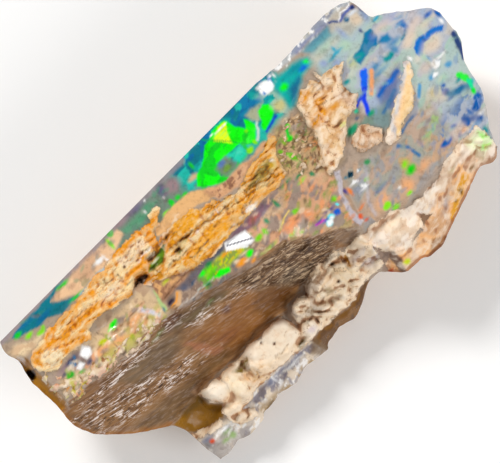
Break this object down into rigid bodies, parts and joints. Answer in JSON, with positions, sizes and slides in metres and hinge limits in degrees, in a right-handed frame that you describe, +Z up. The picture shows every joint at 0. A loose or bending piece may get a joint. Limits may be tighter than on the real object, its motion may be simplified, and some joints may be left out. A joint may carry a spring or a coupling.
{
  "type": "rough opal",
  "caption": "Elongated block of rough opalised wood with cream and ochre matrix seams, glassy colour-flashing opal and a hollow woody flank, lying on a flat broken underside.",
  "frame": {"origin": "centre of the bounding box in X and Y, on the plane of the flat underside", "axes": "+X along the stone's length towards its blue glassy end, +Y towards the long straight edge, +Z up out of the glassy top face"},
  "size_m": [0.047, 0.0216, 0.0161],
  "materials": {
    "opal": "rough cream and ochre matrix, satin brown wood grain, and glassy opal with green and blue flashes"
  },
  "bodies": {
    "root": {"rough_opal": "opal"}
  },
  "joints": []
}
